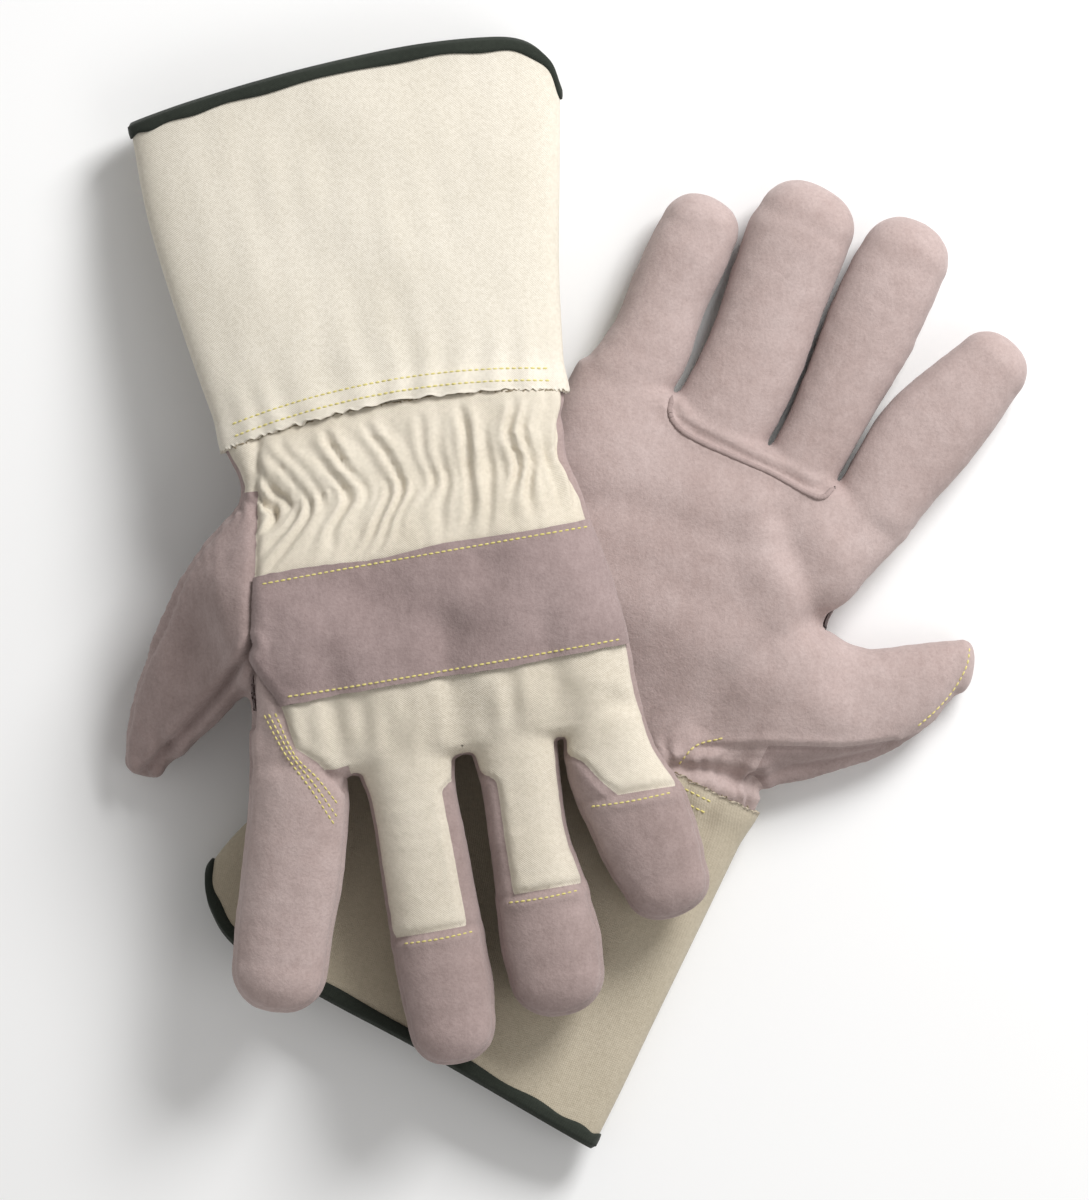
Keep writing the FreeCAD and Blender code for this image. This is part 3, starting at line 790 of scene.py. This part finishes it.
# ---------------------------------------------------------------- stitches, welt
def surface_tree(skins):
    verts, tris, base = [], [], 0
    for v, t in skins:
        verts.append(v)
        tris.append(t + base)
        base += len(v)
    verts, tris = np.vstack(verts), np.vstack(tris)
    return BVHTree.FromPolygons([tuple(v) for v in verts], [tuple(int(i) for i in t) for t in tris])


def on_surface(tree, x, y, top):
    start = Vector((x, y, 300.0 if top else -300.0))
    spot, normal, _, _ = tree.ray_cast(start, Vector((0, 0, -1.0 if top else 1.0)))
    if spot is None:
        return None
    if (normal.z < 0) == top:
        normal = -normal
    return np.array(spot), np.array(normal)


def join_rings(count, sides):
    """Faces of a closed tube of rings, each with the same number of corners."""
    faces = []
    for r in range(count - 1):
        for k in range(sides):
            a, b = r * sides + k, r * sides + (k + 1) % sides
            faces.append((a, b, b + sides, a + sides))
    faces.append(tuple(range(sides))[::-1])
    faces.append(tuple(range((count - 1) * sides, count * sides)))
    return faces


def bead(spot, way, normal, length, radius, sides=6):
    """One stitch: a short length of thread, rounded at both ends and partly sunk."""
    across = np.cross(normal, way)
    across /= np.linalg.norm(across)
    up = np.cross(way, across)
    verts = []
    steps = [(-0.5, 0.35, -0.35), (-0.3, 0.9, 0.05), (0.0, 1.0, 0.15), (0.3, 0.9, 0.05), (0.5, 0.35, -0.35)]
    for along, size, lift in steps:
        centre = spot + way * along * length + normal * (lift * radius)
        for k in range(sides):
            a = 2 * math.pi * k / sides
            verts.append(centre + (across * math.cos(a) + up * math.sin(a)) * radius * size)
    return verts, join_rings(len(steps), sides)


def gather(parts):
    """Many small meshes as one: all their corners, and all their faces."""
    verts, faces = [], []
    for more, quads in parts:
        faces += [tuple(i + len(verts) for i in f) for f in quads]
        verts += more
    return verts, faces


def stitching(name, side, part, tree, rows):
    """Rows of stitches, each (points in plan, whether it is on top, pitch)."""
    rng = np.random.default_rng(len(name) * 7 + 3)
    beads = []
    for points, top, pitch in rows:
        run = dense(points, 40)
        gaps = np.concatenate([[0], np.cumsum(np.linalg.norm(np.diff(run, axis=0), axis=1))])
        for s in np.arange(pitch / 2, gaps[-1], pitch):
            x0, y0 = (np.interp(s - 0.8, gaps, run[:, k]) for k in range(2))
            x1, y1 = (np.interp(s + 0.8, gaps, run[:, k]) for k in range(2))
            a, b = on_surface(tree, x0, y0, top), on_surface(tree, x1, y1, top)
            if a is None or b is None or abs(a[0][2] - b[0][2]) > 2.5:
                continue
            way = b[0] - a[0] + rng.normal(0, 0.06, 3)
            way /= np.linalg.norm(way)
            normal = a[1] + b[1]
            normal /= np.linalg.norm(normal)
            size = rng.uniform(0.3, 0.37)
            beads.append(bead((a[0] + b[0]) / 2, way, normal, pitch * rng.uniform(0.72, 0.86), size))
    if not beads:
        return
    verts, faces = gather(beads)
    made = make_object(name, to_world(side, verts), faces)
    attach(made, side, part, "thread")


def welt(side, tree):
    """The piping strip across the roots of the middle and ring fingers."""
    line = np.array(WELT, float)
    line[:, 0] *= 1.12 if side == "left" else 1.0
    line[:, 1] += ROOT_LINE[side] - ROOT_LINE["right"]
    run = dense(line, 16)
    hits = [on_surface(tree, x, y, side == "right") for x, y in run]
    spots = [hit for hit in hits if hit is not None]
    verts = []
    sides = 10
    for i, (spot, normal) in enumerate(spots):
        ahead = spots[min(i + 1, len(spots) - 1)][0] - spots[max(i - 1, 0)][0]
        ahead /= np.linalg.norm(ahead)
        across = np.cross(normal, ahead)
        size = 0.85 * min(1.0, (i + 2) / 8, (len(spots) - i + 1) / 8) * (1 + 0.05 * math.sin(i * 1.7))
        for k in range(sides):
            a = 2 * math.pi * k / sides
            verts.append(spot + (across * math.cos(a) * 1.1 + normal * (math.sin(a) + 0.3)) * size)
    made = make_object(f"{side}_finger_root_welt", to_world(side, verts), join_rings(len(spots), sides))
    # The piping takes the darker suede as painted shade along the rolled strip.
    attach(made, side, "hand", "suede_dark_and_painted_shade", [f"{side}_finger_root_welt"])


# ---------------------------------------------------------------- materials
class Shading:
    """A material's node tree, with short ways to add what the fabrics use."""

    def __init__(self, name, roughness):
        self.material = bpy.data.materials.new(name)
        self.material.use_nodes = True
        self.nodes = self.material.node_tree.nodes
        self.link = self.material.node_tree.links.new
        self.shader = self.nodes["Principled BSDF"]
        self.shader.inputs["Roughness"].default_value = roughness
        self.coords = self.nodes.new("ShaderNodeTexCoord").outputs
        MATERIALS[name] = self.material

    def moved(self, where, **settings):
        made = self.nodes.new("ShaderNodeMapping")
        for name, value in settings.items():
            made.inputs[name].default_value = value
        self.link(where, made.inputs["Vector"])
        return made.outputs["Vector"]

    def noise(self, where, scale, detail, rough=0.6):
        made = self.nodes.new("ShaderNodeTexNoise")
        made.inputs["Scale"].default_value = scale
        made.inputs["Detail"].default_value = detail
        made.inputs["Roughness"].default_value = rough
        self.link(where, made.inputs["Vector"])
        return made.outputs["Fac"]

    def ramp(self, value, stops):
        made = self.nodes.new("ShaderNodeValToRGB")
        for element, (position, colour) in zip(made.color_ramp.elements, (stops[0], stops[-1])):
            element.position = position
            element.color = (*colour, 1)
        for position, colour in stops[1:-1]:
            made.color_ramp.elements.new(position).color = (*colour, 1)
        self.link(value, made.inputs["Fac"])
        return made.outputs["Color"]

    def multiply(self, amount, a, b):
        """One colour darkened by another."""
        made = self.nodes.new("ShaderNodeMix")
        made.data_type = "RGBA"
        made.blend_type = "MULTIPLY"
        made.inputs[0].default_value = amount
        self.link(a, made.inputs[6])
        self.link(b, made.inputs[7])
        return made.outputs[2]

    def bump(self, height, strength, distance, before=None):
        made = self.nodes.new("ShaderNodeBump")
        made.inputs["Strength"].default_value = strength
        made.inputs["Distance"].default_value = distance
        self.link(height, made.inputs["Height"])
        if before is not None:
            self.link(before, made.inputs["Normal"])
        return made.outputs["Normal"]

    def maths(self, kind, *values):
        """A maths node. Each value is a number or another node's output."""
        made = self.nodes.new("ShaderNodeMath")
        made.operation = kind
        for i, value in enumerate(values):
            if isinstance(value, (int, float)):
                made.inputs[i].default_value = value
            else:
                self.link(value, made.inputs[i])
        return made.outputs[0]

    def blend(self, *shares):
        """The sum of node outputs, each with its share."""
        total = None
        for value, share in shares:
            part = self.maths("MULTIPLY_ADD", value, share, 0.0)
            total = part if total is None else self.maths("ADD", total, part)
        return total

    def finish(self, colour, normal, specular, sheen, sheen_roughness):
        self.link(colour, self.shader.inputs["Base Color"])
        self.link(normal, self.shader.inputs["Normal"])
        self.shader.inputs["Specular IOR Level"].default_value = specular
        self.shader.inputs["Sheen Weight"].default_value = sheen
        self.shader.inputs["Sheen Roughness"].default_value = sheen_roughness


def suede(name, dark, light, seed):
    """Split leather: a brushed nap with cloudy tone, short fibres and rubbed patches."""
    s = Shading(name, 0.95)
    where = s.moved(s.coords["Object"], Location=(seed, seed * 1.7, 0))
    cloud = s.noise(where, 32, 3, 0.55)
    nap = s.noise(where, 170, 5, 0.65)
    fibre = s.noise(where, 900, 4, 0.7)
    streak = s.noise(s.moved(where, Scale=(1.0, 0.35, 1.0)), 420, 3)
    total = s.blend((cloud, 0.5), (nap, 0.28), (streak, 0.22))
    middle = tuple((a + b) / 2 for a, b in zip(dark, light))
    tone = s.ramp(total, [(0.3, dark), (0.5, middle), (0.7, light)])
    speck = s.ramp(fibre, [(0.3, (0.7, 0.68, 0.68)), (0.6, (1.0, 1.0, 1.0))])
    normal = s.bump(fibre, 0.6, 0.0004, s.bump(nap, 0.4, 0.0005))
    s.shader.inputs["Sheen Tint"].default_value = (0.9, 0.84, 0.84, 1)
    s.finish(s.multiply(0.5, tone, speck), normal, 0.2, 0.22, 0.6)


def woven(name, dark, light, pitch, depth, stains=0.35):
    """Plain-weave cotton: threads over and under, with slubs and faint soiling."""
    s = Shading(name, 0.9)
    flat = s.coords["UV"]
    split = s.nodes.new("ShaderNodeSeparateXYZ")
    s.link(flat, split.inputs[0])
    turn = 2 * math.pi * 100 / pitch
    waves = [s.maths("SINE", s.maths("MULTIPLY_ADD", split.outputs[axis], turn, 0.0)) for axis in "XY"]
    weave = s.maths("MULTIPLY_ADD", s.maths("MULTIPLY", *waves), 0.5, 0.5)
    slub = s.noise(s.moved(flat, Scale=(1.0, 7.0, 1.0)), 60, 3)
    cross_slub = s.noise(s.moved(flat, Scale=(7.0, 1.0, 1.0)), 60, 3)
    cloud = s.noise(s.coords["Object"], 22, 4)
    fine = s.noise(s.coords["Object"], 700, 3)
    total = s.blend((slub, 0.28), (cross_slub, 0.22), (cloud, stains), (weave, 0.07))
    tone = s.ramp(total, [(0.28, dark), (0.62, light)])
    speck = s.ramp(fine, [(0.3, (0.84, 0.83, 0.81)), (0.6, (1.0, 1.0, 1.0))])
    height = s.maths("ADD", weave, s.maths("MULTIPLY_ADD", slub, 0.8, 0.0))
    normal = s.bump(fine, 0.35, 0.0003, s.bump(height, 0.4, depth))
    s.finish(s.multiply(0.6, tone, speck), normal, 0.25, 0.12, 0.5)


def make_materials():
    suede("suede", (0.375, 0.282, 0.262), (0.52, 0.42, 0.40), 0.0)
    # A darker copy of the suede: painted shade on the thumbs' outer panels and the piping, and partly painted
    # shade on the left glove's leather.
    suede("suede_dark_and_painted_shade", (0.275, 0.205, 0.19), (0.42, 0.325, 0.31), 3.1)
    suede("suede_strap", (0.23, 0.17, 0.162), (0.385, 0.298, 0.288), 5.3)
    woven("canvas", (0.54, 0.48, 0.38), (0.76, 0.70, 0.60), 0.8, 0.0003)
    woven("cuff_canvas", (0.64, 0.59, 0.49), (0.80, 0.75, 0.665), 0.8, 0.0003, 0.3)
    # A darker, yellower copy of the cuff canvas: painted shade for the right cuff.
    woven("cuff_canvas_painted_shade", (0.42, 0.365, 0.27), (0.58, 0.515, 0.405), 0.8, 0.0003, 0.3)
    woven("lining", (0.6, 0.57, 0.5), (0.8, 0.77, 0.7), 1.6, 0.0006)
    woven("elastic", (0.55, 0.52, 0.47), (0.78, 0.75, 0.68), 0.8, 0.0005)
    woven("binding", (0.010, 0.014, 0.010), (0.035, 0.042, 0.032), 0.7, 0.0003)
    woven("thread", (0.55, 0.47, 0.13), (0.78, 0.70, 0.30), 0.5, 0.0001)
    # The yarn ends are dark brown: painted shadow under the cuff's raw edge.
    woven("fray_and_painted_shadow", (0.16, 0.125, 0.08), (0.34, 0.28, 0.19), 0.5, 0.0001)
    s = Shading("floor", 0.9)
    cloud = s.noise(s.coords["Object"], 3, 2)
    s.link(s.ramp(cloud, [(0.3, (0.87, 0.87, 0.87)), (0.7, (0.9, 0.9, 0.9))]), s.shader.inputs["Base Color"])


# ---------------------------------------------------------------- the pair
def plan_spans():
    """Two points near the root of each digit and along the left cuff. A piece of a part listed here is not
    hung on the hand's body.
    """
    for side in ("right", "left"):
        for name in FINGERS:
            x, y, z = DIGITS[side][name][0][:3]
            ends = to_world(side, [(x, y + 2.5, z), (x, y + 28, z)])
            SPANS[(side, name)] = (tuple(ends[0]), tuple(ends[1]))
        x, y, z = DIGITS[side]["thumb"][0][:3]
        angle = math.radians(THUMB_FACING[side][0])
        ends = to_world(side, [(x + 3 * math.cos(angle), y + 3 * math.sin(angle), z),
                               (x + 27 * math.cos(angle), y + 27 * math.sin(angle), z)])
        SPANS[(side, "thumb")] = (tuple(ends[0]), tuple(ends[1]))
    ends = to_world("left", [(0, -9, 40), (0, -42, 40)])
    SPANS[("left", "cuff")] = (tuple(ends[0]), tuple(ends[1]))


def frayed_edge_and_painted_shadow(side, tree, rise):
    """Loose yarn ends along the cuff's raw edge, on top and below, coloured dark brown as painted shadow
    under the edge.
    """
    rng = np.random.default_rng(71)
    beads = []
    for top in (True, False):
        for px in np.arange(-55, 56, 0.8):
            py = 1.1 - rise * (1 - (px / 60) ** 2) + rng.normal(0, 0.2)
            a, b = on_surface(tree, px, py, top), on_surface(tree, px + 0.6, py, top)
            if a is None or b is None:
                continue
            way = b[0] - a[0] + rng.normal(0, 0.35, 3)
            way /= np.linalg.norm(way)
            beads.append(bead(a[0], way, a[1], rng.uniform(0.9, 1.8), rng.uniform(0.16, 0.32)))
    verts, faces = gather(beads)
    made = make_object(f"{side}_cuff_raw_edge_and_painted_shadow", to_world(side, verts), faces)
    attach(made, side, "cuff", "fray_and_painted_shadow")


def build_glove(side):
    skins = build_hand(side)
    hand_tree = surface_tree(skins)
    cuff_tree = surface_tree(build_cuff(side))
    back_top = side == "left"
    welt(side, hand_tree)
    wide = 54 if side == "left" else 53
    for top in (True, False):
        label = "upper" if top else "under"
        rise = 6.5 if side == "left" else 2.0
        rows = []
        for back_off in (3.2, 7.4):
            points = [(x, 1.0 - rise * (1 - (x / 60) ** 2) - back_off) for x in range(-wide, wide + 1, 12)]
            rows.append((points, top, 2.1))
        stitching(f"{side}_cuff_stitching_{label}", side, "cuff", cuff_tree, rows)
    frayed_edge_and_painted_shadow(side, hand_tree, rise)
    line = ROOT_LINE[side] - 111
    strap = [([(-58, 47.3), (-9, 47.2), (25, 47.2), (54, 47.4)], back_top, 2.1),
             ([(-62, 86.4), (-33, 86.6), (0, 86.6), (30, 86.4), (52, 86)], back_top, 2.1)]
    stitching(f"{side}_strap_stitching", side, "hand", hand_tree, strap)
    index = [([(60.2, 88.5), (55.4, 103), (49.0, 116), (43.5, 129)], back_top, 2.0),
             ([(58.6, 88.5), (53.8, 103), (47.4, 115), (42, 127)], back_top, 2.0),
             ([(56.4, 88.5), (52.5, 103.4), (46.2, 112.8), (41.4, 122)], back_top, 2.0)]
    index = [([(px, py + line) for px, py in points], top, pitch) for points, top, pitch in index]
    stitching(f"{side}_index_stitching", side, "index", hand_tree, index)
    for name in ("middle", "ring", "little"):
        start = TIP_START[side][name]
        rows = np.array(DIGITS[side][name], float)
        x, w = (np.interp(start + 2.5, rows[:, 1], rows[:, k]) for k in (0, 3))
        edge = [(x - 0.8 * w, start + 2.2), (x, start + 2.6), (x + 0.8 * w, start + 2.2)]
        stitching(f"{side}_{name}_tip_stitching", side, name, hand_tree, [(edge, back_top, 2.0)])
    near_wrist = [(27.5, 2.5), (29.5, 11), (36, 17.5)]
    near_tip = [(92.6, 53), (95.6, 61), (97.6, 70), (97.6, 79), (95.6, 85)]
    rows = [(near_wrist, side == "right", 2.1), (near_tip, side == "right", 2.1)]
    stitching(f"{side}_thumb_stitching", side, "thumb", hand_tree, rows)


def build_stage():
    bpy.context.scene.view_settings.view_transform = "Standard"
    size = 3.0
    verts = [(-size, -size, 0), (size, -size, 0), (size, size, 0), (-size, size, 0)]
    floor = make_object("floor", verts, [(0, 1, 2, 3)])
    floor.data.materials.append(MATERIALS["floor"])
    world = bpy.data.worlds.new("studio")
    world.use_nodes = True
    world.node_tree.nodes["Background"].inputs[0].default_value = (1.0, 0.99, 0.97, 1)
    world.node_tree.nodes["Background"].inputs[1].default_value = 0.42
    bpy.context.scene.world = world
    lamps = [("key", (0.75, 0.95, 1.0), 0.6, 25), ("fill", (0.9, -0.6, 1.3), 0.9, 4)]
    for name, spot, width, power in lamps:
        data = bpy.data.lights.new(name, "AREA")
        data.energy = power
        data.size = width
        lamp = bpy.data.objects.new(name, data)
        lamp.location = spot
        lamp.rotation_euler = (Vector((0, 0, 0.03)) - Vector(spot)).to_track_quat("-Z", "Y").to_euler()
        bpy.context.scene.collection.objects.link(lamp)
    data = bpy.data.cameras.new("camera")
    data.sensor_width = 36
    data.lens = 36 * 3.0 / 0.408
    data.clip_end = 20
    camera = bpy.data.objects.new("camera", data)
    camera.location = (-0.0094, -0.0024, 3.02)
    bpy.context.scene.collection.objects.link(camera)
    bpy.context.scene.camera = camera


make_materials()
plan_spans()
build_stage()
for glove_side in ("right", "left"):
    build_glove(glove_side)
